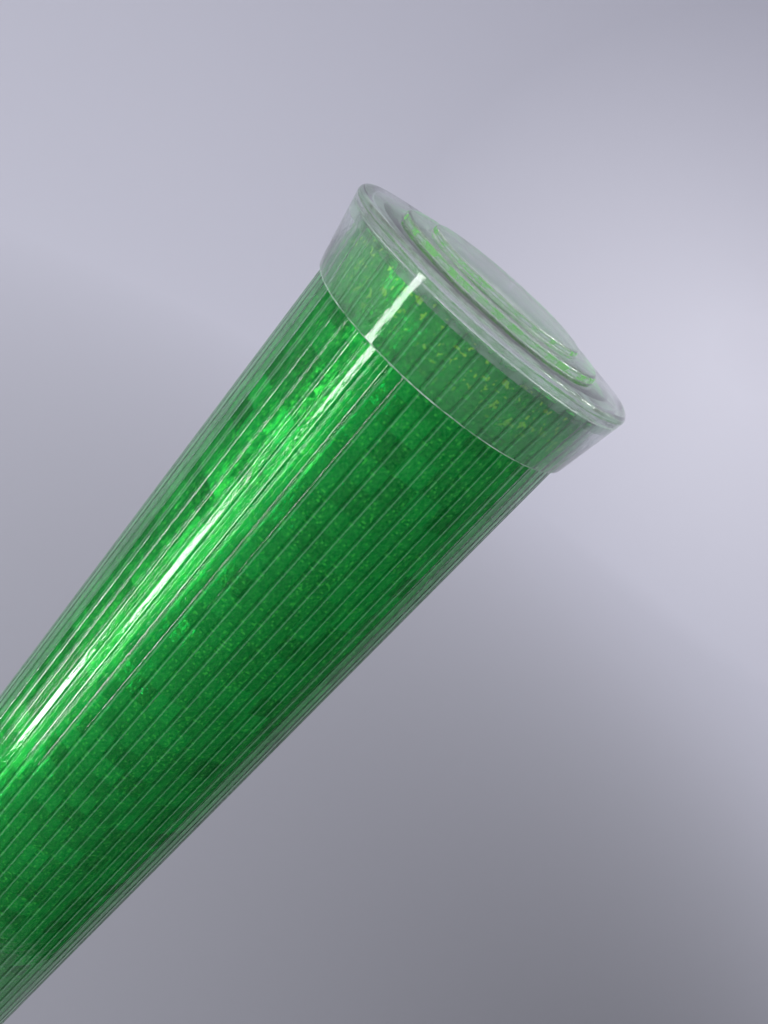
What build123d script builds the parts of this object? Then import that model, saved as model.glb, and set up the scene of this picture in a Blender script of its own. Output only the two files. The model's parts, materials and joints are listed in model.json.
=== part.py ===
from build123d import *

import os
from math import cos, radians, sin

# Flexible delineator post. A clear ribbed tube covers a rolled green reflective sheet and a plastic
# core. The post stands on a close-coiled recoil spring, with a two-pin knuckle inside the spring,
# on a cast foot that is anchored to the road. A clear flared cap closes the top.
# Millimetres. The origin is the centre of the foot's underside and +Z points up the post.

os.makedirs("parts", exist_ok=True)

# Driving dimensions
total_height = 750
tube_diameter = 50        # over the ribs
rib_count = 60
foot_diameter = 180
anchor_circle = 140       # pitch circle of the anchor holes
anchor_count = 4
anchor_hole_radius = 5.5
spring_wire = 5           # wire diameter
spring_outer_radius = 22.5
bend_height = 109         # middle of the bending zone, half-way between the two knuckle pins
knuckle_length = 55       # between the two pins
visible_spring = 110      # length of spring between the two cups

# Clearances
slip = 0.02               # parts that are fixed together
running = 0.05            # parts that turn on each other
push_fit = 0.1            # parts that are pushed over the tube's ribs
loose = 0.2               # parts that are dropped in
cut_past = 1              # how far a hole's tool runs on beyond the wall

# Tube, sheet and core
tube_radius = tube_diameter / 2
rib_height = 0.12         # above the plain surface between the ribs
rib_half_width = 0.45
tube_wall = 1.8           # between the bore and the plain surface
rib_arc = (rib_half_width**2 + rib_height**2) / (2 * rib_height)
rib_root_radius = tube_radius - rib_height
tube_bore = rib_root_radius - tube_wall
liner_outer = tube_bore - loose
liner_thickness = 0.5
liner_seam = 0.5          # gap between the rolled sheet's long edges
liner_slack = 0.25        # between the sheet and the core
core_outer = liner_outer - liner_thickness - liner_slack
core_wall = 2.2
core_bore = core_outer - core_wall

# Cap
disc_height = 0.046 * tube_diameter
step_height = 0.026 * tube_diameter
rim_thickness = 0.044 * tube_diameter
cap_height = 0.265 * tube_diameter
cap_bore = tube_radius + push_fit
lip_radius = 1.03 * tube_radius
rim_radius = 1.11 * tube_radius
step_radius = 0.71 * rim_radius
disc_radius = 0.54 * rim_radius
rim_round = 1.0
step_round = 0.5
lip_round = 0.25
rim_top = total_height - disc_height
plate_bottom = rim_top - rim_thickness
lip_bottom = rim_top - cap_height
gasket_thickness = 0.5
sheet_setback = 0.3       # from the tube's end down to the sheet's end
tube_top = plate_bottom - gasket_thickness

# Spring, its cups and the knuckle
cup_radius = 28
cup_bore = spring_outer_radius + loose
cup_grip = 16             # length of spring inside each cup
cup_floor = 10
socket_top = bend_height - visible_spring / 2
socket_floor_top = socket_top - cup_grip
socket_bottom = socket_floor_top - cup_floor
head_bottom = bend_height + visible_spring / 2
head_floor_bottom = head_bottom + cup_grip
head_top = head_floor_bottom + cup_floor
coil_radius = spring_outer_radius - spring_wire / 2
coil_gap = 0.2            # between neighbouring turns
coil_pitch = spring_wire + coil_gap
flange_radius = 40.5
flange_thickness = 5
mouth_chamfer = 1
pin_radius = 4
pin_head_radius = 6
pin_head_thickness = 2
clip_thickness = 0.8
groove_radius = 3.2
pin_tail = 1.8            # beyond the clip's groove
clip_mouth = 5.4          # width of the clip's open side
bush_radius = 5.5
eye_radius = 9
eye_half_width = 6
ear_inner = eye_half_width + loose
ear_thickness = 4
ear_outer = ear_inner + ear_thickness
fork_depth = 15.5         # from the pin's centre to the bottom of the fork
clevis_foot_radius = 15
clevis_foot_height = 6
stud_radius = 6
stud_length = 23
nut_apothem = 9
nut_thickness = 10
lower_pin_height = bend_height - knuckle_length / 2
upper_pin_height = bend_height + knuckle_length / 2

# Fasteners
flange_screw_count = 4
flange_screw_circle = 34  # radius at which the flange's screws stand
flange_screw_radius = 2.5
flange_screw_length = 18
flange_head_radius = 4.25
flange_head_height = 5
flange_head_socket = 2    # half the width across the hexagon's flats
flange_hole_radius = 2.75
washer_radius = 5
washer_thickness = 1
set_screw_count = 3
set_screw_radius = 2.5
set_screw_angle = 30      # the first grub screw's place round the cup
small_socket = 1.25       # half the width across the flats of the small hexagon sockets
small_socket_depth = 1.2
screw_count = 3           # in the collar, and again in the core
collar_screw_radius = 2
collar_head_radius = 3.8
collar_head_height = 2.2
core_screw_radius = 2
core_screw_length = 6
core_screw_angle = 60     # turned from the collar's screws
countersink_radius = 3.6
countersink_cover = 0.6   # the heads lie this far under the core's outside

# Foot
pad_thickness = 3
foot_radius = foot_diameter / 2
foot_rim_height = 9
foot_rim_top = pad_thickness + foot_rim_height
foot_rim_round = 3
foot_seat_radius = 43
foot_bore = 14
anchor_angle = 45
anchor_face_radius = 11
anchor_face_height = 11   # level of the flat under each anchor's head

# Collar and what it holds
collar_radius = cup_radius
collar_bore = tube_radius + push_fit
collar_height = 24
collar_mouth_round = 1.5
seat_ring_thickness = 3
tube_bottom = head_top + seat_ring_thickness
core_screw_rise = 30      # above the foot of the plug
collar_screw_height = head_top + collar_height / 2
core_screw_height = head_top + core_screw_rise
plug_radius = core_bore - slip
plug_bore = 15
plug_height = 40
core_setback = 32         # from the cap's top down to the core's end
core_top = total_height - core_setback
end_plug_depth = 18
end_plug_wall = 3


def radial_planes(radius, height, count, first_angle=0):
    """Planes round the post's axis that face outward at this radius and height."""
    angles = [radians(first_angle + 360 * turn / count) for turn in range(count)]
    return [
        Plane(origin=(radius * cos(a), radius * sin(a), height), x_dir=(0, 0, 1), z_dir=(cos(a), sin(a), 0))
        for a in angles
    ]


def stepped_rod(start, steps):
    """A round rod along the start plane's normal, made of (radius, length) steps."""
    with BuildPart() as rod:
        distance = 0
        for radius, length in steps:
            with BuildSketch(start.offset(distance)):
                Circle(radius)
            extrude(amount=length)
            distance += length
    return rod.part


def clevis(seat, pin_distance):
    """A fork: a round foot on the seat plane, a stud behind it, and two ears along the seat's x axis."""
    side = Plane(origin=seat.origin, x_dir=seat.y_dir, z_dir=seat.x_dir)
    with BuildPart() as fork:
        with BuildSketch(seat):
            Circle(clevis_foot_radius)
        extrude(amount=clevis_foot_height)
        with BuildSketch(side):
            with Locations((0, pin_distance / 2)):
                Rectangle(2 * eye_radius, pin_distance)
            with Locations((0, pin_distance)):
                Circle(eye_radius)
        extrude(amount=ear_outer, both=True)
        with BuildSketch(side):
            with Locations((0, pin_distance - fork_depth)):
                Rectangle(2 * eye_radius, fork_depth + eye_radius, align=(Align.CENTER, Align.MIN))
        extrude(amount=ear_inner, both=True, mode=Mode.SUBTRACT)
        with BuildSketch(side):
            with Locations((0, pin_distance)):
                Circle(pin_radius + slip)
        extrude(amount=ear_outer, both=True, mode=Mode.SUBTRACT)
        with BuildSketch(seat):
            Circle(stud_radius)
        extrude(amount=-stud_length)
    return fork.part


def headed_pin(axis_plane):
    """A clevis pin along the plane's normal, centred on its origin, with a head and a clip groove."""
    shank = 2 * (ear_outer + slip)
    start = axis_plane.offset(-shank / 2 - pin_head_thickness)
    steps = [
        (pin_head_radius, pin_head_thickness),
        (pin_radius, shank),
        (groove_radius, clip_thickness + 2 * slip),
        (pin_radius, pin_tail),
    ]
    return stepped_rod(start, steps)


def pin_clip(axis_plane):
    """A snap ring for the pin's groove, open to one side."""
    with BuildPart() as clip:
        with BuildSketch(axis_plane.offset(ear_outer + 2 * slip)):
            Circle(pin_head_radius)
            Circle(groove_radius + slip, mode=Mode.SUBTRACT)
            Rectangle(clip_mouth, pin_head_radius, align=(Align.CENTER, Align.MIN), mode=Mode.SUBTRACT)
        extrude(amount=clip_thickness)
    return clip.part


def bush(axis_plane):
    """A plain bearing bush, centred on the plane and lying along its normal."""
    with BuildPart() as sleeve:
        with BuildSketch(axis_plane):
            Circle(bush_radius)
            Circle(pin_radius + running, mode=Mode.SUBTRACT)
        extrude(amount=eye_half_width, both=True)
    return sleeve.part


def clevis_nut(face):
    """A hexagon nut that starts on the face plane and follows its normal."""
    with BuildPart() as nut:
        with BuildSketch(face):
            RegularPolygon(nut_apothem, 6, major_radius=False)
            Circle(stud_radius + slip, mode=Mode.SUBTRACT)
        extrude(amount=nut_thickness)
    return nut.part


def grub_screws(height):
    """Hexagon-socket grub screws that point inwards at the spring's end coils from the cup's wall."""
    length = cup_radius - spring_outer_radius - 2 * loose
    with BuildPart() as screws:
        for mouth in radial_planes(cup_radius - loose, height, set_screw_count, set_screw_angle):
            with BuildSketch(mouth):
                Circle(set_screw_radius)
            extrude(amount=-length)
            with BuildSketch(mouth):
                RegularPolygon(small_socket, 6, major_radius=False)
            extrude(amount=-length / 2, mode=Mode.SUBTRACT)
    return screws.part


lower_pin_plane = Plane(origin=(0, 0, lower_pin_height), x_dir=(0, 1, 0), z_dir=(1, 0, 0))
upper_pin_plane = Plane(origin=(0, 0, upper_pin_height), x_dir=(1, 0, 0), z_dir=(0, 1, 0))

# Foot

with BuildPart() as base_pad:
    with BuildSketch():
        Circle(foot_radius)
        with PolarLocations(anchor_circle / 2, anchor_count, anchor_angle):
            Circle(anchor_hole_radius, mode=Mode.SUBTRACT)
    extrude(amount=pad_thickness)
base_pad.part.label = "base_pad"
export_step(base_pad.part, "parts/base_pad.step")

with BuildPart() as base_plate:
    with BuildSketch(Plane.XZ) as half_section:
        with BuildLine():
            Polyline(
                (foot_bore, pad_thickness),
                (foot_radius, pad_thickness),
                (foot_radius, foot_rim_top),
                (foot_seat_radius, socket_bottom),
                (foot_bore, socket_bottom),
                close=True,
            )
        make_face()
        rim_corner = half_section.vertices().group_by(Axis.X)[-1].sort_by(Axis.Y)[-1]
        fillet(rim_corner, foot_rim_round)
    revolve(axis=Axis.Z)
    with Locations(Plane.XY.offset(socket_bottom)):
        with PolarLocations(anchor_circle / 2, anchor_count, anchor_angle):
            CounterBoreHole(anchor_hole_radius, anchor_face_radius, socket_bottom - anchor_face_height)
        with PolarLocations(flange_screw_circle, flange_screw_count):
            Hole(flange_screw_radius + slip, depth=flange_screw_length)
base_plate.part.label = "base_plate"
export_step(base_plate.part, "parts/base_plate.step")

# Spring socket and its fasteners

flange_top = Plane.XY.offset(socket_bottom + flange_thickness)
washer_top = flange_top.offset(washer_thickness)

with BuildPart() as spring_socket:
    with BuildSketch(Plane.XZ) as half_section:
        with BuildLine():
            Polyline(
                (stud_radius + slip, socket_bottom),
                (flange_radius, socket_bottom),
                (flange_radius, socket_bottom + flange_thickness),
                (cup_radius, socket_bottom + flange_thickness),
                (cup_radius, socket_top),
                (cup_bore, socket_top),
                (cup_bore, socket_floor_top),
                (stud_radius + slip, socket_floor_top),
                close=True,
            )
        make_face()
        cup_mouth = half_section.vertices().group_by(Axis.Y)[-1].sort_by(Axis.X)[-1]
        flange_rim = half_section.vertices().group_by(Axis.X)[-1].sort_by(Axis.Y)[-1]
        chamfer([cup_mouth, flange_rim], mouth_chamfer)
    revolve(axis=Axis.Z)
    with Locations(flange_top):
        with PolarLocations(flange_screw_circle, flange_screw_count):
            Hole(flange_hole_radius, depth=flange_thickness)
    with Locations(*radial_planes(cup_radius, socket_top - cup_grip / 2, set_screw_count, set_screw_angle)):
        Hole(set_screw_radius + slip, depth=cup_radius - cup_bore + cut_past)
spring_socket.part.label = "spring_socket"
export_step(spring_socket.part, "parts/spring_socket.step")

with BuildPart() as socket_washers:
    with BuildSketch(flange_top):
        with PolarLocations(flange_screw_circle, flange_screw_count):
            Circle(washer_radius)
            Circle(flange_hole_radius, mode=Mode.SUBTRACT)
    extrude(amount=washer_thickness)
socket_washers.part.label = "socket_washers"
export_step(socket_washers.part, "parts/socket_washers.step")

with BuildPart() as socket_screws:
    with BuildSketch(washer_top):
        with PolarLocations(flange_screw_circle, flange_screw_count):
            Circle(flange_head_radius)
    extrude(amount=flange_head_height)
    with BuildSketch(washer_top):
        with PolarLocations(flange_screw_circle, flange_screw_count):
            Circle(flange_screw_radius)
    extrude(amount=-flange_screw_length)
    with BuildSketch(washer_top.offset(flange_head_height)):
        with PolarLocations(flange_screw_circle, flange_screw_count):
            RegularPolygon(flange_head_socket, 6, major_radius=False)
    extrude(amount=-flange_head_height / 2, mode=Mode.SUBTRACT)
socket_screws.part.label = "socket_screws"
export_step(socket_screws.part, "parts/socket_screws.step")

with BuildPart() as lower_set_screws:
    add(grub_screws(socket_top - cup_grip / 2))
lower_set_screws.part.label = "lower_set_screws"
export_step(lower_set_screws.part, "parts/lower_set_screws.step")

# Knuckle inside the spring

with BuildPart() as lower_clevis:
    add(clevis(Plane.XY.offset(socket_floor_top), lower_pin_height - socket_floor_top))
lower_clevis.part.label = "lower_clevis"
export_step(lower_clevis.part, "parts/lower_clevis.step")

with BuildPart() as lower_clevis_nut:
    add(clevis_nut(Plane(origin=(0, 0, socket_bottom), z_dir=(0, 0, -1))))
lower_clevis_nut.part.label = "lower_clevis_nut"
export_step(lower_clevis_nut.part, "parts/lower_clevis_nut.step")

with BuildPart() as lower_pin:
    add(headed_pin(lower_pin_plane))
lower_pin.part.label = "lower_pin"
export_step(lower_pin.part, "parts/lower_pin.step")

with BuildPart() as lower_pin_clip:
    add(pin_clip(lower_pin_plane))
lower_pin_clip.part.label = "lower_pin_clip"
export_step(lower_pin_clip.part, "parts/lower_pin_clip.step")

with BuildPart() as lower_bush:
    add(bush(lower_pin_plane))
lower_bush.part.label = "lower_bush"
export_step(lower_bush.part, "parts/lower_bush.step")

with BuildPart() as knuckle_link:
    with BuildSketch(Plane.XY.offset(lower_pin_height)):
        Circle(eye_half_width)
    extrude(amount=knuckle_length)
    for pin_plane in (lower_pin_plane, upper_pin_plane):
        with BuildSketch(pin_plane):
            Circle(eye_radius)
        extrude(amount=eye_half_width, both=True)
    for pin_plane in (lower_pin_plane, upper_pin_plane):
        with BuildSketch(pin_plane):
            Circle(bush_radius + slip)
        extrude(amount=eye_half_width, both=True, mode=Mode.SUBTRACT)
knuckle_link.part.label = "knuckle_link"
export_step(knuckle_link.part, "parts/knuckle_link.step")

with BuildPart() as upper_bush:
    add(bush(upper_pin_plane))
upper_bush.part.label = "upper_bush"
export_step(upper_bush.part, "parts/upper_bush.step")

with BuildPart() as upper_pin:
    add(headed_pin(upper_pin_plane))
upper_pin.part.label = "upper_pin"
export_step(upper_pin.part, "parts/upper_pin.step")

with BuildPart() as upper_pin_clip:
    add(pin_clip(upper_pin_plane))
upper_pin_clip.part.label = "upper_pin_clip"
export_step(upper_pin_clip.part, "parts/upper_pin_clip.step")

with BuildPart() as upper_clevis:
    head_seat = Plane(origin=(0, 0, head_floor_bottom), x_dir=(0, 1, 0), z_dir=(0, 0, -1))
    add(clevis(head_seat, head_floor_bottom - upper_pin_height))
upper_clevis.part.label = "upper_clevis"
export_step(upper_clevis.part, "parts/upper_clevis.step")

with BuildPart() as upper_clevis_nut:
    add(clevis_nut(Plane.XY.offset(head_top)))
upper_clevis_nut.part.label = "upper_clevis_nut"
export_step(upper_clevis_nut.part, "parts/upper_clevis_nut.step")

# Recoil spring

with BuildPart() as recoil_spring:
    coil_length = head_floor_bottom - socket_floor_top - spring_wire
    with BuildLine() as coil:
        Helix(coil_pitch, coil_length, coil_radius, center=(0, 0, socket_floor_top + spring_wire / 2))
    with BuildSketch(Plane(origin=coil.line @ 0, z_dir=coil.line % 0)):
        Circle(spring_wire / 2)
    sweep(path=coil.line, is_frenet=True)
recoil_spring.part.label = "recoil_spring"
export_step(recoil_spring.part, "parts/recoil_spring.step")

# Spring head, with the plug that carries the post

with BuildPart() as spring_head:
    with BuildSketch(Plane.XZ) as half_section:
        with BuildLine():
            Polyline(
                (stud_radius + slip, head_floor_bottom),
                (cup_bore, head_floor_bottom),
                (cup_bore, head_bottom),
                (cup_radius, head_bottom),
                (cup_radius, head_top),
                (plug_radius, head_top),
                (plug_radius, head_top + plug_height),
                (plug_bore, head_top + plug_height),
                (plug_bore, head_top),
                (stud_radius + slip, head_top),
                close=True,
            )
        make_face()
        cup_mouth = half_section.vertices().group_by(Axis.Y)[0].sort_by(Axis.X)[-1]
        chamfer(cup_mouth, mouth_chamfer)
    revolve(axis=Axis.Z)
    with Locations(*radial_planes(cup_radius, head_bottom + cup_grip / 2, set_screw_count, set_screw_angle)):
        Hole(set_screw_radius + slip, depth=cup_radius - cup_bore + cut_past)
    with Locations(*radial_planes(plug_radius, collar_screw_height, screw_count)):
        Hole(collar_screw_radius + slip, depth=plug_radius - plug_bore + cut_past)
    with Locations(*radial_planes(plug_radius, core_screw_height, screw_count, core_screw_angle)):
        Hole(core_screw_radius + slip, depth=plug_radius - plug_bore + cut_past)
spring_head.part.label = "spring_head"
export_step(spring_head.part, "parts/spring_head.step")

with BuildPart() as upper_set_screws:
    add(grub_screws(head_bottom + cup_grip / 2))
upper_set_screws.part.label = "upper_set_screws"
export_step(upper_set_screws.part, "parts/upper_set_screws.step")

# Core tube

with BuildPart() as core_tube:
    with BuildSketch(Plane.XY.offset(head_top)):
        Circle(core_outer)
        Circle(core_bore, mode=Mode.SUBTRACT)
    extrude(amount=core_top - head_top)
    with Locations(*radial_planes(core_outer, collar_screw_height, screw_count)):
        Hole(collar_screw_radius + loose, depth=core_wall + cut_past)
    with Locations(*radial_planes(core_outer, core_screw_height, screw_count, core_screw_angle)):
        CounterSinkHole(core_screw_radius + slip, countersink_radius, depth=core_wall + cut_past)
core_tube.part.label = "core_tube"
export_step(core_tube.part, "parts/core_tube.step")

with BuildPart() as core_screws:
    head_level = core_outer - countersink_cover
    head_radius = countersink_radius - countersink_cover
    with Locations(*radial_planes(head_level, core_screw_height, screw_count, core_screw_angle)):
        Cone(
            core_screw_radius,
            head_radius,
            head_radius - core_screw_radius,
            align=(Align.CENTER, Align.CENTER, Align.MAX),
        )
        Cylinder(core_screw_radius, core_screw_length, align=(Align.CENTER, Align.CENTER, Align.MAX))
core_screws.part.label = "core_screws"
export_step(core_screws.part, "parts/core_screws.step")

with BuildPart() as core_end_plug:
    with BuildSketch(Plane.XZ):
        with BuildLine():
            Polyline(
                (0, core_top - end_plug_wall),
                (core_bore - end_plug_wall, core_top - end_plug_wall),
                (core_bore - end_plug_wall, core_top - end_plug_depth),
                (core_bore - slip, core_top - end_plug_depth),
                (core_bore - slip, core_top),
                (core_outer, core_top),
                (core_outer, core_top + end_plug_wall),
                (0, core_top + end_plug_wall),
                close=True,
            )
        make_face()
    revolve(axis=Axis.Z)
core_end_plug.part.label = "core_end_plug"
export_step(core_end_plug.part, "parts/core_end_plug.step")

# Reflective sheet and clear tube

with BuildPart() as tube_seat_ring:
    with BuildSketch(Plane.XY.offset(head_top)):
        Circle(tube_radius)
        Circle(core_outer + loose, mode=Mode.SUBTRACT)
    extrude(amount=seat_ring_thickness)
tube_seat_ring.part.label = "tube_seat_ring"
export_step(tube_seat_ring.part, "parts/tube_seat_ring.step")

with BuildPart() as reflective_liner:
    with BuildSketch(Plane.XY.offset(tube_bottom)):
        Circle(liner_outer)
        Circle(liner_outer - liner_thickness, mode=Mode.SUBTRACT)
        Rectangle(liner_seam, 2 * liner_outer, align=(Align.CENTER, Align.MIN), mode=Mode.SUBTRACT)
    extrude(amount=tube_top - sheet_setback - tube_bottom)
    with Locations(*radial_planes(liner_outer, collar_screw_height, screw_count)):
        Hole(collar_screw_radius + loose, depth=liner_thickness + cut_past)
reflective_liner.part.label = "reflective_liner"
export_step(reflective_liner.part, "parts/reflective_liner.step")

with BuildPart() as lens_tube:
    with BuildSketch(Plane.XY.offset(tube_bottom)):
        Circle(rib_root_radius)
        with PolarLocations(tube_radius - rib_arc, rib_count):
            Circle(rib_arc)
        Circle(tube_bore, mode=Mode.SUBTRACT)
    extrude(amount=tube_top - tube_bottom)
    with Locations(*radial_planes(tube_radius, collar_screw_height, screw_count)):
        Hole(collar_screw_radius + loose, depth=tube_radius - tube_bore + cut_past)
lens_tube.part.label = "lens_tube"
export_step(lens_tube.part, "parts/lens_tube.step")

with BuildPart() as lower_collar:
    with BuildSketch(Plane.XY.offset(head_top)):
        Circle(collar_radius)
        Circle(collar_bore, mode=Mode.SUBTRACT)
    extrude(amount=collar_height)
    collar_mouth = lower_collar.edges().group_by(Axis.Z)[-1].sort_by(SortBy.RADIUS)[-1]
    fillet(collar_mouth, collar_mouth_round)
    with Locations(*radial_planes(collar_radius, collar_screw_height, screw_count)):
        Hole(collar_screw_radius + loose, depth=collar_radius - collar_bore + cut_past)
lower_collar.part.label = "lower_collar"
export_step(lower_collar.part, "parts/lower_collar.step")

with BuildPart() as collar_screws:
    for collar_side in radial_planes(collar_radius, collar_screw_height, screw_count):
        shank_length = collar_radius - plug_bore
        steps = [(collar_screw_radius, shank_length), (collar_head_radius, collar_head_height)]
        add(stepped_rod(collar_side.offset(-shank_length), steps))
        with BuildSketch(collar_side.offset(collar_head_height)):
            RegularPolygon(small_socket, 6, major_radius=False)
        extrude(amount=-small_socket_depth, mode=Mode.SUBTRACT)
collar_screws.part.label = "collar_screws"
export_step(collar_screws.part, "parts/collar_screws.step")

# Top cap

with BuildPart() as cap_gasket:
    with BuildSketch(Plane.XY.offset(tube_top)):
        Circle(rib_root_radius)
        Circle(tube_bore, mode=Mode.SUBTRACT)
    extrude(amount=gasket_thickness)
cap_gasket.part.label = "cap_gasket"
export_step(cap_gasket.part, "parts/cap_gasket.step")

with BuildPart() as top_cap:
    with BuildSketch(Plane.XZ) as half_section:
        with BuildLine():
            Polyline(
                (0, plate_bottom),
                (cap_bore, plate_bottom),
                (cap_bore, lip_bottom),
                (lip_radius, lip_bottom),
                (rim_radius, rim_top),
                (step_radius, rim_top),
                (step_radius, rim_top + step_height),
                (disc_radius, rim_top + step_height),
                (disc_radius, total_height),
                (0, total_height),
                close=True,
            )
        make_face()
        by_height = half_section.vertices().group_by(Axis.Y)
        disc_edge = by_height[-1].sort_by(Axis.X)[-1]
        step_edge = by_height[-2].sort_by(Axis.X)[-1]
        rim_edge = by_height[-3].sort_by(Axis.X)[-1]
        lip_edges = by_height[0]
        fillet([disc_edge, step_edge], step_round)
        fillet(rim_edge, rim_round)
        fillet(lip_edges, lip_round)
    revolve(axis=Axis.Z)
top_cap.part.label = "top_cap"
export_step(top_cap.part, "parts/top_cap.step")
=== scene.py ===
import json
import math

import bpy
from mathutils import Matrix, Vector, noise


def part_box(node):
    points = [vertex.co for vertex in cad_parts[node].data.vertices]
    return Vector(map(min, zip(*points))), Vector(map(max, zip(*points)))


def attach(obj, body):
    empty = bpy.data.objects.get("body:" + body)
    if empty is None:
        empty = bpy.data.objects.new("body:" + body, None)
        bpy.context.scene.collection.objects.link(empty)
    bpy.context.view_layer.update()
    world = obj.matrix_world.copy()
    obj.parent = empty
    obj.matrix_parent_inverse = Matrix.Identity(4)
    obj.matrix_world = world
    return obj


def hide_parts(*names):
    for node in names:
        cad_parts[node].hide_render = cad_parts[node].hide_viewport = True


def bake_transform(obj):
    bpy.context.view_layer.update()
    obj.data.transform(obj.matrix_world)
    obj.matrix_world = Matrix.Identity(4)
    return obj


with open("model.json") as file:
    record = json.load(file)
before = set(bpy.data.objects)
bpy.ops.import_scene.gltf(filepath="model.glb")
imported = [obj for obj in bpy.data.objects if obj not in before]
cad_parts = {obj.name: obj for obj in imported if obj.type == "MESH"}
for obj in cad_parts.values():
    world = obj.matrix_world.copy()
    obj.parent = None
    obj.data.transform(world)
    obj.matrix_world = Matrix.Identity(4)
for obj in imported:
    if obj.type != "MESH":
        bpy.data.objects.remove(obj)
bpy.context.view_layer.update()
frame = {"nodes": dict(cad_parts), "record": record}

# A delineator post: a clear ribbed tube over a green prismatic sheet, a clear flared cap, a recoil
# spring and a cast foot. Metres, in the CAD frame: +Z up the post, the camera on the -Y side.

MM = 0.001
NOISE_SEED = 7      # without a seed the cap's unevenness is drawn from the clock

# Sizes read from the frame
tube_low, tube_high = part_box("lens_tube")
TUBE_RADIUS = tube_high.x
TUBE_DIAMETER = 2 * TUBE_RADIUS
TUBE_BOTTOM, TUBE_TOP = tube_low.z, tube_high.z
liner_low, liner_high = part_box("reflective_liner")
LINER_RADIUS = liner_high.x
LINER_BOTTOM, LINER_TOP = liner_low.z, liner_high.z
cap_low, cap_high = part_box("top_cap")
CAP_LIP, CAP_TOP = cap_low.z, cap_high.z
DISC_HEIGHT, STEP_HEIGHT = 0.046 * TUBE_DIAMETER, 0.026 * TUBE_DIAMETER
RIM_TOP = CAP_TOP - DISC_HEIGHT
STEP_TOP = RIM_TOP + STEP_HEIGHT
ring_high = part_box("cap_gasket")[1]
PLATE_BOTTOM = ring_high.z
spring_low, spring_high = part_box("recoil_spring")
WIRE_RADIUS = 2.5 * MM
COIL_RADIUS = spring_high.x - WIRE_RADIUS
COIL_PITCH = 5.2 * MM
COIL_START, COIL_END = spring_low.z + WIRE_RADIUS, spring_high.z - WIRE_RADIUS
SOCKET_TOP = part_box("spring_socket")[1].z
HEAD_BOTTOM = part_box("spring_head")[0].z

RIB_COUNT = 60
RIB_HALF_WIDTH = 0.45 * MM
ROOT_RADIUS = ring_high.x
RIB_HEIGHT = TUBE_RADIUS - ROOT_RADIUS
BORE_RADIUS = LINER_RADIUS + 0.2 * MM
LINER_THICKNESS = 0.5 * MM


# Shader helpers


class Shader:
    """A material's node tree, with short calls for adding nodes and joining them."""

    def __init__(self, name):
        self.material = bpy.data.materials.new(name)
        self.material.use_nodes = True
        self.tree = self.material.node_tree
        self.tree.nodes.clear()
        self.output = self.node("ShaderNodeOutputMaterial")
        self.position = self.node("ShaderNodeTexCoord").outputs["Object"]

    def node(self, kind, inputs=None, **settings):
        """Adds a node. An input's value is a number, a tuple, or another node's output."""
        made = self.tree.nodes.new(kind)
        for key, value in settings.items():
            setattr(made, key, value)
        for key, value in (inputs or {}).items():
            if isinstance(value, bpy.types.NodeSocket):
                self.tree.links.new(value, made.inputs[key])
            else:
                made.inputs[key].default_value = value
        return made

    def math(self, operation, first, second=0.0, clamp=False):
        inputs = {0: first, 1: second}
        return self.node("ShaderNodeMath", inputs, operation=operation, use_clamp=clamp).outputs[0]

    def vector(self, operation, first, second=(0, 0, 0)):
        inputs = {0: first, 1: second}
        return self.node("ShaderNodeVectorMath", inputs, operation=operation).outputs["Vector"]

    def scaled(self, vector, factor):
        made = self.node("ShaderNodeVectorMath", {0: vector, "Scale": factor}, operation="SCALE")
        return made.outputs["Vector"]

    def noise(self, scale, detail=2.0, stretch=(1, 1, 1)):
        """Noise of this many features per millimetre, stretched along the axes."""
        place = self.vector("MULTIPLY", self.position, tuple(scale * s / MM for s in stretch))
        inputs = {"Vector": place, "Scale": 1.0, "Detail": detail, "Roughness": 0.5}
        return self.node("ShaderNodeTexNoise", inputs).outputs["Fac"]

    def ramp(self, value, low, high, to_low=0.0, to_high=1.0):
        """Maps low..high to to_low..to_high, held at the ends."""
        inputs = {"Value": value, 1: low, 2: high, 3: to_low, 4: to_high}
        return self.node("ShaderNodeMapRange", inputs, clamp=True).outputs[0]

    def band(self, value, low, high, edge, most):
        """Most between low and high, with soft edges, and nothing outside."""
        rise = self.ramp(value, low - edge, low + edge, 0.0, most)
        fall = self.ramp(value, high - edge, high + edge, 1.0, 0.0)
        return self.math("MULTIPLY", rise, fall)

    def mix_colour(self, factor, first, second):
        made = self.node("ShaderNodeMix", data_type="RGBA")
        if isinstance(factor, bpy.types.NodeSocket):
            self.tree.links.new(factor, made.inputs[0])
        else:
            made.inputs[0].default_value = factor
        colour_inputs = [s for s in made.inputs if s.type == "RGBA"]
        for socket, value in zip(colour_inputs, (first, second)):
            if isinstance(value, bpy.types.NodeSocket):
                self.tree.links.new(value, socket)
            else:
                socket.default_value = (*value, 1.0)
        return [s for s in made.outputs if s.type == "RGBA"][0]

    def bump(self, height, distance):
        """A bump of this many millimetres."""
        inputs = {"Height": height, "Distance": distance * MM, "Strength": 1.0}
        return self.node("ShaderNodeBump", inputs).outputs["Normal"]

    def surface(self, shader):
        self.tree.links.new(shader, self.output.inputs["Surface"])
        return self.material

    def around(self):
        """The angle round the post from the camera's side, in radians."""
        axes = self.node("ShaderNodeSeparateXYZ", {0: self.position})
        toward = self.math("MULTIPLY", axes.outputs["Y"], -1.0)
        return self.math("ARCTAN2", axes.outputs["X"], toward)

    def height(self):
        return self.node("ShaderNodeSeparateXYZ", {0: self.position}).outputs["Z"]


# Materials

TUBE_TINT = (0.93, 0.99, 0.95)
CAP_TINT = (0.93, 0.98, 0.95)
PLASTIC_BENDING = 1.49
FILM_BENDING = 1.30     # where the film clings to the bore there is hardly any air between them


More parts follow.
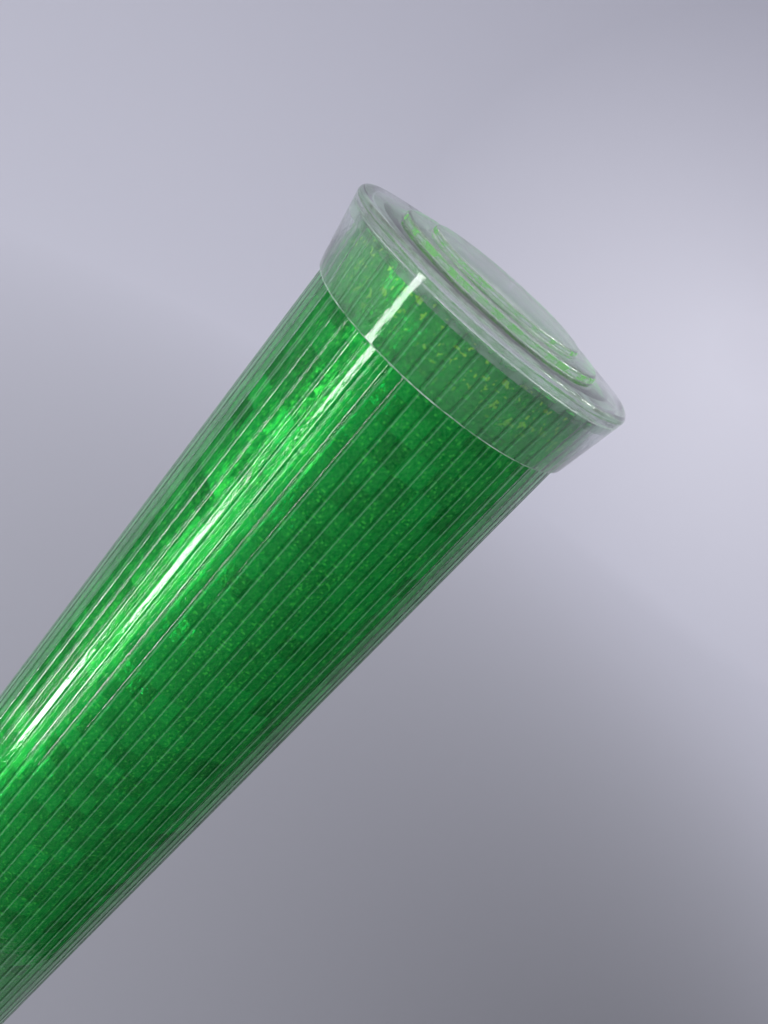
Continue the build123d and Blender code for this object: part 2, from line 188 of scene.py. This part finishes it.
def clear_plastic(name, tint, haze, chatter, bending=PLASTIC_BENDING, gloss=0.0, ribbed=False):
    """Clear plastic with light drawing marks that lets lamps and soft light through.

    Haze blurs what is seen through it and gloss adds a sharp reflection. A ribbed one has a painted
    shade line along each rib's left foot and a painted highlight line on each crest.
    """
    s = Shader(name)
    marks = s.noise(0.9, 3.0, stretch=(1, 1, 0.65))
    scuffs = s.noise(0.25, 4.0, stretch=(3, 3, 0.12))
    worn = s.ramp(scuffs, 0.56, 0.75, haze, haze + 0.10)
    bumped = s.bump(marks, chatter)
    glass = s.node(
        "ShaderNodeBsdfPrincipled",
        {
            "Base Color": (*tint, 1.0),
            "Roughness": worn,
            "IOR": bending,
            "Transmission Weight": 1.0,
            "Normal": bumped,
            "Coat Weight": gloss,
            "Coat Roughness": 0.03,
            "Coat Normal": bumped,
        },
    )
    see_through = s.node("ShaderNodeBsdfTransparent", {"Color": (*[c ** 0.5 for c in tint], 1.0)})
    path = s.node("ShaderNodeLightPath")
    soft = s.math("MAXIMUM", path.outputs["Is Shadow Ray"], path.outputs["Is Diffuse Ray"])
    mixed = s.node("ShaderNodeMixShader", {0: soft, 1: glass.outputs[0], 2: see_through.outputs[0]})
    if ribbed:
        turns = s.math("MULTIPLY", s.around(), RIB_COUNT / (2 * math.pi))
        from_rib = s.math("SUBTRACT", s.math("FRACT", s.math("ADD", turns, 0.5)), 0.5)
        # painted shade: a dark line beside each rib's left foot; painted highlight: a pale line on each
        # crest
        painted_rib_shade = s.node("ShaderNodeBsdfDiffuse", {"Color": (0.001, 0.030, 0.006, 1.0)})
        painted_rib_highlight = s.node("ShaderNodeBsdfDiffuse", {"Color": (0.28, 0.66, 0.36, 1.0)})
        foot = s.band(from_rib, -0.18, -0.05, 0.06, 0.42)
        crest = s.band(from_rib, 0.02, 0.10, 0.04, 0.36)
        mixed = s.node("ShaderNodeMixShader", {0: foot, 1: mixed.outputs[0], 2: painted_rib_shade.outputs[0]})
        mixed = s.node("ShaderNodeMixShader", {0: crest, 1: mixed.outputs[0], 2: painted_rib_highlight.outputs[0]})
    return s.surface(mixed.outputs[0])


def prismatic_sheet():
    """Green micro-prismatic film: a lattice of tiles, each a field of tiny prisms that glitter."""
    s = Shader("green_prismatic")
    prism = 0.355 * MM
    tile = 4.75 * MM
    arc = s.math("MULTIPLY", s.around(), LINER_RADIUS)
    along = s.height()

    def cell(size):
        column = s.math("FLOOR", s.math("DIVIDE", arc, size))
        row = s.math("FLOOR", s.math("DIVIDE", along, size))
        place = s.node("ShaderNodeCombineXYZ", {0: column, 1: row}).outputs[0]
        chance = s.node("ShaderNodeTexWhiteNoise", {"Vector": place}, noise_dimensions="3D")
        parity = s.math("PINGPONG", s.math("ADD", column, row), 1.0)
        return chance, parity

    prism_chance, _ = cell(prism)
    tile_chance, tile_parity = cell(tile)

    # each tile is a little lighter or darker than its neighbours, and so is each prism
    parity_tone = s.math("MULTIPLY", tile_parity, 0.20)
    tile_tone = s.math("MULTIPLY", tile_chance.outputs["Value"], 0.50)
    prism_tone = s.math("MULTIPLY", prism_chance.outputs["Value"], 0.30)
    tone = s.math("ADD", s.math("ADD", parity_tone, tile_tone), prism_tone)
    deep, fresh = (0.002, 0.105, 0.016), (0.007, 0.365, 0.056)
    # a few random prisms are painted much brighter green, a painted glitter in the colour
    painted_sparkle = s.ramp(prism_chance.outputs["Value"], 0.94, 0.96, 0.0, 0.40)
    base = s.mix_colour(painted_sparkle, s.mix_colour(tone, deep, fresh), (0.09, 0.80, 0.09))
    spark_tint = s.mix_colour(prism_chance.outputs["Value"], (0.004, 0.45, 0.07), (0.07, 0.85, 0.09))

    # under the cap the film is painted paler as painted light, and near its cut end patches of yellow-green
    # painted glints are added
    painted_light_under_cap = s.ramp(along, CAP_LIP, LINER_TOP, 0.0, 0.40)
    base = s.mix_colour(painted_light_under_cap, base, (0.06, 0.55, 0.10))
    near_end = s.ramp(along, LINER_TOP - 9 * MM, LINER_TOP - 1 * MM, 0.0, 1.0)
    painted_end_glints = s.ramp(s.noise(1.1, 2.0), 0.61, 0.64)
    base = s.mix_colour(s.math("MULTIPLY", near_end, painted_end_glints), base, (0.50, 0.92, 0.10))

    # prisms tip the surface this way and that
    tip = s.vector("SUBTRACT", prism_chance.outputs["Color"], (0.5, 0.5, 0.5))
    tile_tip = s.vector("SUBTRACT", tile_chance.outputs["Color"], (0.5, 0.5, 0.5))
    flat = s.node("ShaderNodeNewGeometry").outputs["Normal"]
    tipped = s.vector("ADD", flat, s.vector("ADD", s.scaled(tip, 0.30), s.scaled(tile_tip, 0.25)))
    facet = s.vector("NORMALIZE", tipped)

    body = s.node("ShaderNodeBsdfDiffuse", {"Color": base, "Normal": flat})
    glints = s.node("ShaderNodeBsdfAnisotropic", {"Color": spark_tint, "Roughness": 0.28, "Normal": facet})
    mixed = s.node("ShaderNodeMixShader", {0: 0.23, 1: body.outputs[0], 2: glints.outputs[0]})
    return s.surface(mixed.outputs[0])


def sheet_back():
    """The film's plain back, seen through the cap, with a painted glow: an emission standing in for light
    that comes through the film.
    """
    s = Shader("sheet_back")
    streaks = s.noise(0.35, 3.0, stretch=(0.3, 0.3, 3))
    colour = s.mix_colour(s.ramp(streaks, 0.42, 0.62), (0.005, 0.14, 0.02), (0.12, 0.95, 0.14))
    body = s.node("ShaderNodeBsdfDiffuse", {"Color": colour, "Normal": s.bump(streaks, 0.2)})
    # the emission is a painted glow; the film's back is no lamp
    back_glow_painted = s.node("ShaderNodeEmission", {"Color": colour, "Strength": 0.25})
    both = s.node("ShaderNodeAddShader", {0: body.outputs[0], 1: back_glow_painted.outputs[0]})
    return s.surface(both.outputs[0])


def patchy_clear(name, colour, patches_per_mm, least, most):
    """Clear plastic with a skin of another colour on it, covering from least to most of it in patches."""
    s = Shader(name)
    cover = s.ramp(s.noise(patches_per_mm, 4.0), 0.38, 0.62, least, most)
    skin = s.node("ShaderNodeBsdfDiffuse", {"Color": (*colour, 1.0)})
    inputs = {
        "Base Color": (*CAP_TINT, 1.0),
        "Roughness": 0.12,
        "IOR": PLASTIC_BENDING,
        "Transmission Weight": 1.0,
    }
    plain = s.node("ShaderNodeBsdfPrincipled", inputs)
    mixed = s.node("ShaderNodeMixShader", {0: cover, 1: plain.outputs[0], 2: skin.outputs[0]})
    return s.surface(mixed.outputs[0])


def coated_metal():
    """Black powder coat with orange peel, rubbed grey on the high spots."""
    s = Shader("black_coat")
    peel = s.noise(0.9, 2.0)
    rub = s.ramp(s.noise(0.06, 5.0), 0.60, 0.72)
    colour = s.mix_colour(rub, (0.012, 0.013, 0.015), (0.055, 0.055, 0.056))
    rough = s.ramp(s.noise(0.12, 3.0), 0.3, 0.7, 0.34, 0.52)
    inputs = {"Base Color": colour, "Roughness": rough, "Normal": s.bump(peel, 0.06)}
    return s.surface(s.node("ShaderNodeBsdfPrincipled", inputs).outputs[0])


def plated_steel(name, colour, other, rough_low, rough_high):
    """Bare or plated steel with clouds in the plating and fine turning marks."""
    s = Shader(name)
    clouds = s.noise(0.15, 4.0)
    lines = s.noise(1.5, 2.0, stretch=(0.6, 0.6, 5))
    inputs = {
        "Base Color": s.mix_colour(clouds, colour, other),
        "Metallic": 1.0,
        "Roughness": s.ramp(clouds, 0.3, 0.7, rough_low, rough_high),
        "Normal": s.bump(lines, 0.012),
    }
    return s.surface(s.node("ShaderNodeBsdfPrincipled", inputs).outputs[0])


def moulded(name, dark, light, rough, grain):
    """Moulded plastic or rubber with a fine grain and a little dust."""
    s = Shader(name)
    dust = s.ramp(s.noise(0.08, 5.0), 0.45, 0.75)
    inputs = {
        "Base Color": s.mix_colour(dust, dark, light),
        "Roughness": s.ramp(s.noise(0.3, 2.0), 0.3, 0.7, rough - 0.06, rough + 0.08),
        "Normal": s.bump(s.noise(2.2, 2.0), grain),
    }
    return s.surface(s.node("ShaderNodeBsdfPrincipled", inputs).outputs[0])


# Mesh helpers


def piece_from(name, points, faces, material, sharp_angle=40):
    """A smooth-shaded mesh object, with edges sharper than this angle kept crisp."""
    mesh = bpy.data.meshes.new(name)
    mesh.from_pydata(points, [], faces)
    mesh.update()
    mesh.shade_smooth()
    mesh.set_sharp_from_angle(angle=math.radians(sharp_angle))
    mesh.materials.append(material)
    piece = bpy.data.objects.new(name, mesh)
    bpy.context.scene.collection.objects.link(piece)
    return piece


def rounded(corners, steps=5):
    """A closed outline from (radius, height, rounding) corners, each corner an arc."""
    outline = []
    for i, (x, z, rounding) in enumerate(corners):
        here = Vector((x, z))
        if rounding <= 0:
            outline.append(here)
            continue
        before = (Vector(corners[i - 1][:2]) - here).normalized()
        after = (Vector(corners[(i + 1) % len(corners)][:2]) - here).normalized()
        half = before.angle(after) / 2
        centre = here + (before + after).normalized() * (rounding / math.sin(half))
        reach = rounding / math.tan(half)
        first, last = here + before * reach - centre, here + after * reach - centre
        sweep = first.angle_signed(last)
        for k in range(steps + 1):
            turn = -sweep * k / steps
            outline.append(centre + Matrix.Rotation(turn, 2) @ first)
    return outline


def lathe(name, outline, segments, material, wobble=0.0, sharp_angle=40):
    """Turns a closed (radius, height) outline, listed counter-clockwise, round the post.

    Wobble is a slight unevenness, in metres. Outline points on the axis become single points.
    """
    waves_per_mm = 0.09
    points, faces, rings = [], [], []
    for p in outline:
        turns = segments if p.x > 0 else 1
        ring = []
        for s in range(turns):
            angle = 2 * math.pi * s / segments
            place = Vector((p.x * math.cos(angle), p.x * math.sin(angle), p.y))
            if turns > 1:
                place += wobble * noise.noise_vector(place * waves_per_mm / MM)
            ring.append(len(points))
            points.append(place)
        rings.append(ring)
    for ring, following in zip(rings, rings[1:] + rings[:1]):
        for s in range(segments):
            t = (s + 1) % segments
            corners = [ring[s % len(ring)], ring[t % len(ring)]]
            corners += [following[t % len(following)], following[s % len(following)]]
            face = tuple(dict.fromkeys(corners))
            if len(face) > 2:
                faces.append(face)
    return piece_from(name, points, faces, material, sharp_angle)


# Pieces


def rib_profile():
    """Angles and outer radii round the tube: a rounded rib, then a plain land, for each rib."""
    pitch = 2 * math.pi / RIB_COUNT
    half = RIB_HALF_WIDTH / ROOT_RADIUS
    rib_steps, land_steps = 8, 4
    profile = []
    for rib in range(RIB_COUNT):
        centre = rib * pitch
        for k in range(rib_steps + 1):
            t = -1 + 2 * k / rib_steps
            rise = RIB_HEIGHT * (1 - t * t)
            profile.append((centre + t * half, ROOT_RADIUS + rise))
        for k in range(1, land_steps):
            profile.append((centre + half + (pitch - 2 * half) * k / land_steps, ROOT_RADIUS))
    return profile


def build_lens_tube(material, bore_material):
    """The clear tube: ribs outside, plain bore inside, slightly uneven along its length."""
    profile = rib_profile()
    rows = 70
    most_drift, drift_length = 0.02 * MM, 18 * MM
    count = len(profile)
    points, faces = [], []
    for row in range(rows + 1):
        z = TUBE_BOTTOM + (TUBE_TOP - TUBE_BOTTOM) * row / rows
        for angle, radius in profile:
            place = Vector((math.sin(angle), -math.cos(angle), 0))
            drift = most_drift * noise.noise(Vector((place.x * 2, place.y * 2, z / drift_length)))
            points.append(place * (radius + drift - most_drift) + Vector((0, 0, z)))
    inner = len(points)
    for z in (TUBE_BOTTOM, TUBE_TOP):
        for angle, _ in profile:
            points.append(Vector((BORE_RADIUS * math.sin(angle), -BORE_RADIUS * math.cos(angle), z)))
    for i in range(count):
        j = (i + 1) % count
        for row in range(rows):
            low, high = row * count, (row + 1) * count
            faces.append((low + i, low + j, high + j, high + i))
        faces.append((inner + j, inner + i, inner + count + i, inner + count + j))
        faces.append((i, inner + i, inner + j, j))
        top = rows * count
        faces.append((top + j, inner + count + j, inner + count + i, top + i))
    piece = piece_from("clear_tube", points, faces, material, 50)
    piece.data.materials.append(bore_material)
    bore_start = 1.001 * BORE_RADIUS
    for polygon in piece.data.polygons:
        if polygon.center.xy.length < bore_start:
            polygon.material_index = 1
    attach(piece, "post")
    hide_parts("lens_tube")


def build_liner(material, back_material):
    """The rolled sheet: a thin wall whose two long edges nearly meet at the back."""
    segments = 240
    half_seam = 0.25 * MM / LINER_RADIUS
    inner_radius = LINER_RADIUS - LINER_THICKNESS
    points, faces = [], []
    rows = 12
    for row in range(rows + 1):
        z = LINER_BOTTOM + (LINER_TOP - LINER_BOTTOM) * row / rows
        for k in range(segments + 1):
            angle = -math.pi + half_seam + (2 * math.pi - 2 * half_seam) * k / segments
            for radius in (LINER_RADIUS, inner_radius):
                points.append((radius * math.sin(angle), -radius * math.cos(angle), z))
    width = 2 * (segments + 1)
    for row in range(rows):
        low, high = row * width, (row + 1) * width
        for k in range(segments):
            a = 2 * k
            faces.append((low + a, low + a + 2, high + a + 2, high + a))
            faces.append((low + a + 3, low + a + 1, high + a + 1, high + a + 3))
        last = 2 * segments
        faces.append((low + 1, low, high, high + 1))
        faces.append((low + last, low + last + 1, high + last + 1, high + last))
    top = rows * width
    for k in range(segments):
        a = 2 * k
        faces.append((a + 1, a + 3, a + 2, a))
        faces.append((top + a, top + a + 2, top + a + 3, top + a + 1))
    piece = piece_from("prismatic_sheet", points, faces, material)
    piece.data.materials.append(back_material)
    for polygon in piece.data.polygons:
        if polygon.center.xy.length < inner_radius + 0.1 * MM:
            polygon.material_index = 1
    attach(piece, "post")
    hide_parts("reflective_liner")


def build_cap(material, glue_material, lip_highlight_material, step_glints_material):
    """The clear cap: flared skirt, end plate glued to the tube's end, two raised steps with soft edges."""
    bore = TUBE_RADIUS + 0.1 * MM
    rim = 1.11 * TUBE_RADIUS
    step, disc = 0.71 * rim, 0.54 * rim
    soft = 0.4 * MM
    glue_end = PLATE_BOTTOM - 1.6 * MM
    corners = [
        (0, PLATE_BOTTOM, 0),
        (BORE_RADIUS, PLATE_BOTTOM, 0),
        (bore, PLATE_BOTTOM, 0.3 * MM),
        (bore, glue_end, 0),
        (bore, CAP_LIP, 0.2 * MM),
        (1.03 * TUBE_RADIUS, CAP_LIP, 0.3 * MM),
        (rim, RIM_TOP, 1.0 * MM),
        (step, RIM_TOP, soft),
        (step, STEP_TOP, 0.6 * MM),
        (disc, STEP_TOP, soft),
        (disc, CAP_TOP, 0.5 * MM),
        (0, CAP_TOP, 0),
    ]
    piece = lathe("clear_cap", rounded(corners), 240, material, wobble=0.10 * MM, sharp_angle=60)
    piece.data.materials.append(glue_material)
    piece.data.materials.append(lip_highlight_material)
    piece.data.materials.append(step_glints_material)
    for polygon in piece.data.polygons:
        glued = glue_end < polygon.center.z < PLATE_BOTTOM + 0.2 * MM
        if glued and BORE_RADIUS < polygon.center.xy.length < bore + 0.2 * MM:
            polygon.material_index = 1
        # the lip's faces take patches of a pale skin, a painted highlight along its thin edge
        if polygon.center.z < CAP_LIP + 0.2 * MM:
            polygon.material_index = 2
        # the steps' upright faces take patches of painted green glints
        if polygon.center.z > RIM_TOP and abs(polygon.normal.z) < 0.7:
            polygon.material_index = 3
    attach(piece, "cap")
    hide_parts("top_cap")


def build_gasket(material):
    """The clear ring between the tube's end and the cap's plate."""
    gap = 0.05 * MM
    corners = [
        (BORE_RADIUS, TUBE_TOP + gap, 0.15 * MM),
        (ROOT_RADIUS, TUBE_TOP + gap, 0.15 * MM),
        (ROOT_RADIUS, PLATE_BOTTOM - gap, 0.15 * MM),
        (BORE_RADIUS, PLATE_BOTTOM - gap, 0.15 * MM),
    ]
    piece = lathe("clear_ring", rounded(corners, 3), 240, material, wobble=0.04 * MM)
    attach(piece, "post")
    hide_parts("cap_gasket")


def build_half_spring(name, low, high, material):
    """Half of the recoil spring, from low to high."""
    first_turn = (low - COIL_START) / COIL_PITCH
    last_turn = (high - COIL_START) / COIL_PITCH
    rings_per_turn, around = 48, 16
    rings = round((last_turn - first_turn) * rings_per_turn)
    points, faces = [], []
    for ring in range(rings + 1):
        turn = first_turn + (last_turn - first_turn) * ring / rings
        angle = 2 * math.pi * turn
        outward = Vector((math.cos(angle), math.sin(angle), 0))
        centre = outward * COIL_RADIUS + Vector((0, 0, COIL_START + COIL_PITCH * turn))
        for k in range(around):
            side = 2 * math.pi * k / around
            across = math.cos(side) * outward + math.sin(side) * Vector((0, 0, 1))
            points.append(centre + WIRE_RADIUS * across)
    for ring in range(rings):
        for k in range(around):
            j = (k + 1) % around
            low_row, high_row = ring * around, (ring + 1) * around
            faces.append((low_row + k, high_row + k, high_row + j, low_row + j))
    faces.append(tuple(range(around)))
    faces.append(tuple(rings * around + k for k in reversed(range(around))))
    piece = piece_from(name, points, faces, material, 60)
    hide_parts("recoil_spring")
    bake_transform(piece)


# Stage, light and camera


def build_stage():
    """A pale floor that sweeps up all round, far from the post, with a pool of painted shade to the post's
    right and a painted pool of light far behind it.
    """
    s = Shader("pale_floor")
    geometry = s.node("ShaderNodeNewGeometry").outputs["Position"]
    from_shade = s.node("ShaderNodeVectorMath", {0: geometry, 1: (1.0, 0.3, 0)}, operation="DISTANCE")
    from_glow = s.node("ShaderNodeVectorMath", {0: geometry, 1: (1.0, 3.8, 0.8)}, operation="DISTANCE")
    lit = s.ramp(from_shade.outputs["Value"], 0.5, 2.25)
    glow = s.ramp(from_glow.outputs["Value"], 0.2, 1.6, 1.0, 0.0)
    # painted shade greys the floor round (1.0, 0.3) and a painted pool of light brightens it round (1.0,
    # 3.8, 0.8)
    painted_shade_grey, pale_grey, painted_glow_grey = (0.225, 0.225, 0.245), (0.655, 0.65, 0.715), (0.94, 0.925, 0.99)
    colour = s.mix_colour(lit, painted_shade_grey, pale_grey)
    colour = s.mix_colour(glow, colour, painted_glow_grey)
    material = s.surface(s.node("ShaderNodeBsdfDiffuse", {"Color": colour}).outputs[0])
    flat_radius, sweep = 2.2, 2.2
    below_foot = 0.5 * MM
    outline = [(0.001, 0.0), (1.0, 0.0), (flat_radius, 0.0)]
    for k in range(1, 13):
        a = math.radians(7.5 * k)
        outline.append((flat_radius + sweep * math.sin(a), sweep * (1 - math.cos(a))))
    segments = 96
    points, faces = [], []
    for k in range(segments):
        angle = 2 * math.pi * k / segments
        points += [(r * math.cos(angle), r * math.sin(angle), z - below_foot) for r, z in outline]
    count = len(outline)
    for k in range(segments):
        j = (k + 1) % segments
        for i in range(count - 1):
            faces.append((k * count + i, j * count + i, j * count + i + 1, k * count + i + 1))
    bowl = piece_from("floor", points, faces, material, 180)


# the camera stands in front of the post's end and a little above it
CAMERA_PLACE = Vector((0, -5.558 * TUBE_RADIUS, RIM_TOP + 0.667 * TUBE_RADIUS))


def mirror_ray(angle, depth, lift=0.0):
    """A spot on the post, tilted up by lift, and the way the camera's view of it is mirrored."""
    normal = Vector((math.sin(angle) * math.cos(lift), -math.cos(angle) * math.cos(lift), math.sin(lift)))
    outward = Vector((math.sin(angle), -math.cos(angle), 0))
    spot = outward * TUBE_RADIUS + Vector((0, 0, RIM_TOP - depth))
    sight = (CAMERA_PLACE - spot).normalized()
    return spot, 2 * sight.dot(normal) * normal - sight


def add_panel(name, centre, target, size, size_y, power, colour, upward=Vector((0, 0, 1))):
    """A soft rectangular lamp at centre that faces target."""
    lamp = bpy.data.lights.new(name, "AREA")
    lamp.shape = "RECTANGLE"
    lamp.size, lamp.size_y = size, size_y
    lamp.energy = power
    lamp.color = colour
    panel = bpy.data.objects.new(name, lamp)
    bpy.context.scene.collection.objects.link(panel)
    back = (centre - target).normalized()
    side = upward.cross(back).normalized()
    up = back.cross(side)
    panel.matrix_world = Matrix.Translation(centre) @ Matrix((side, up, back)).transposed().to_4x4()
    panel.visible_camera = False
    return panel


def add_strip(name, first, last, reach, width, power):
    """A narrow lamp whose mirror image in the post runs from the first (angle, depth, lift) to the last."""
    spots, ends = [], []
    for angle, depth, lift in (first, last):
        spot, way = mirror_ray(math.radians(angle), depth, math.radians(lift))
        spots.append(spot)
        ends.append(spot + way * reach)
    along = ends[0] - ends[1]
    centre, target = (ends[0] + ends[1]) / 2, (spots[0] + spots[1]) / 2
    add_panel(name, centre, target, width, along.length, power, (1.0, 1.0, 1.0), along.normalized())


def build_lights():
    """A strip mirrored down the tube, a small one mirrored in the cap's rim, and a soft left panel."""
    add_strip("tube_strip", (-20, 0.2 * TUBE_RADIUS, 0), (-34, 4.4 * TUBE_RADIUS, 0), 0.35, 0.028, 0.50)
    add_strip("rim_strip", (22, 0, 50), (50, 0, 50), 0.60, 0.012, 1.00)
    place, target = Vector((-1.1, -0.1, 0.80)), Vector((0, 0, 0.6))
    left = add_panel("left_panel", place, target, 1.1, 1.1, 2.2, (0.95, 0.98, 1.0))
    left.visible_glossy = False


def build_dark_card():
    """A dark card on the floor and round the front, which darkens what the tube reflects."""
    s = Shader("dark_card")
    material = s.surface(s.node("ShaderNodeBsdfDiffuse", {"Color": (0.01, 0.015, 0.012, 1)}).outputs[0])
    outline = [(0.40, 0.02), (1.0, 0.02), (1.0, 0.72)]
    points, faces = [], []
    steps = 24
    for k in range(steps + 1):
        angle = math.radians(-115 + 230 * k / steps)
        points += [(r * math.sin(angle), -r * math.cos(angle), z) for r, z in outline]
    count = len(outline)
    for k in range(steps):
        for i in range(count - 1):
            low = k * count + i
            faces.append((low, low + count, low + count + 1, low + 1))
    card = piece_from("dark_card", points, faces, material, 180)
    card.visible_camera = False
    card.visible_diffuse = False
    card.visible_shadow = False
    card.visible_transmission = False


def build_world():
    """A soft sky, brighter overhead. The camera sees it in the colour of the sweep's upper edge."""
    world = bpy.data.worlds.new("room")
    world.use_nodes = True
    nodes, links = world.node_tree.nodes, world.node_tree.links
    background = nodes["Background"]
    background.inputs["Color"].default_value = (0.93, 0.94, 1.0, 1.0)
    direction = nodes.new("ShaderNodeTexCoord").outputs["Generated"]
    height = nodes.new("ShaderNodeSeparateXYZ")
    strength = nodes.new("ShaderNodeMapRange")
    links.new(direction, height.inputs[0])
    links.new(height.outputs["Z"], strength.inputs["Value"])
    for socket, value in zip(list(strength.inputs)[1:5], (0.2, 0.8, 0.42, 1.05)):
        socket.default_value = value
    links.new(strength.outputs[0], background.inputs["Strength"])
    backdrop = nodes.new("ShaderNodeBackground")
    backdrop.inputs["Color"].default_value = (0.37, 0.365, 0.45, 1.0)
    seen = nodes.new("ShaderNodeMixShader")
    links.new(nodes.new("ShaderNodeLightPath").outputs["Is Camera Ray"], seen.inputs[0])
    links.new(background.outputs[0], seen.inputs[1])
    links.new(backdrop.outputs[0], seen.inputs[2])
    links.new(seen.outputs[0], nodes["World Output"].inputs["Surface"])
    bpy.context.scene.world = world


def build_camera():
    """The camera looks down and slightly right, and is rolled so that the post leans across the frame."""
    pitch, yaw, roll = math.radians(-22.35), math.radians(3.78), math.radians(42.35)
    forward = Vector((math.sin(yaw) * math.cos(pitch), math.cos(yaw) * math.cos(pitch), math.sin(pitch)))
    level = forward.cross(Vector((0, 0, 1))).normalized()
    upright = level.cross(forward)
    right = level * math.cos(roll) + upright * math.sin(roll)
    up = upright * math.cos(roll) - level * math.sin(roll)
    data = bpy.data.cameras.new("camera")
    data.sensor_width = 36
    data.lens = 29.88
    data.clip_start = 0.01
    camera = bpy.data.objects.new("camera", data)
    bpy.context.scene.collection.objects.link(camera)
    turned = Matrix((right, up, -forward)).transposed().to_4x4()
    camera.matrix_world = Matrix.Translation(CAMERA_PLACE) @ turned
    bpy.context.scene.camera = camera


def finish_cad_nodes():
    """Gives each CAD node that stays its procedural material."""
    looks = {
        "black_coat": coated_metal(),
        "zinc_steel": plated_steel("zinc_steel", (0.62, 0.64, 0.67), (0.50, 0.51, 0.50), 0.22, 0.36),
        "bare_steel": plated_steel("bare_steel", (0.42, 0.41, 0.40), (0.30, 0.29, 0.28), 0.30, 0.45),
        "bronze": plated_steel("bronze", (0.60, 0.42, 0.18), (0.45, 0.30, 0.13), 0.32, 0.45),
        "black_plastic": moulded("black_plastic", (0.015, 0.015, 0.016), (0.035, 0.035, 0.035), 0.42, 0.02),
        "black_rubber": moulded("black_rubber", (0.018, 0.018, 0.018), (0.045, 0.044, 0.042), 0.72, 0.04),
        "core_plastic": moulded("core_plastic", (0.30, 0.32, 0.31), (0.36, 0.37, 0.36), 0.50, 0.02),
    }
    for part in frame["record"]["subparts"]:
        look = looks.get(part["material_slot"])
        if look is not None:
            mesh = frame["nodes"][part["node"]].data
            mesh.materials.clear()
            mesh.materials.append(look)
    return looks


def main():
    noise.seed_set(NOISE_SEED)
    looks = finish_cad_nodes()
    clear = clear_plastic("clear_tube_plastic", TUBE_TINT, 0.06, 0.035, gloss=0.15, ribbed=True)
    clear_cap = clear_plastic("clear_cap_plastic", CAP_TINT, 0.07, 0.025)
    clinging = clear_plastic("clear_bore_plastic", TUBE_TINT, 0.03, 0.0, bending=FILM_BENDING)
    build_lens_tube(clear, clinging)
    build_liner(prismatic_sheet(), sheet_back())
    glue = patchy_clear("smeared_glue", (0.30, 0.40, 0.33), 0.30, 0.15, 0.70)
    # a pale skin in patches on the cap's lip is a painted highlight along its thin edge
    painted_lip_highlight = patchy_clear("painted_highlight_lip", (0.70, 0.86, 0.74), 0.60, 0.10, 0.85)
    # patches of lime green on the cap's steps are painted glints of the green film seen through them
    painted_step_glints = patchy_clear("painted_step_glints", (0.20, 0.70, 0.13), 0.45, 0.10, 0.65)
    build_cap(clear_cap, glue, painted_lip_highlight, painted_step_glints)
    build_gasket(clear_cap)
    middle = (SOCKET_TOP + HEAD_BOTTOM) / 2
    zinc = looks["zinc_steel"]
    build_half_spring("lower_spring", COIL_START, middle, zinc)
    build_half_spring("upper_spring", middle, COIL_END, zinc)
    build_stage()
    build_dark_card()
    build_world()
    build_lights()
    build_camera()
    scene = bpy.context.scene
    scene.view_settings.view_transform = "Standard"
    scene.cycles.use_denoising = True
    scene.cycles.max_bounces = 16
    scene.cycles.transmission_bounces = 16
    scene.cycles.glossy_bounces = 6
    scene.cycles.diffuse_bounces = 3
    scene.cycles.transparent_max_bounces = 16
    scene.cycles.caustics_reflective = False
    scene.cycles.caustics_refractive = False


main()
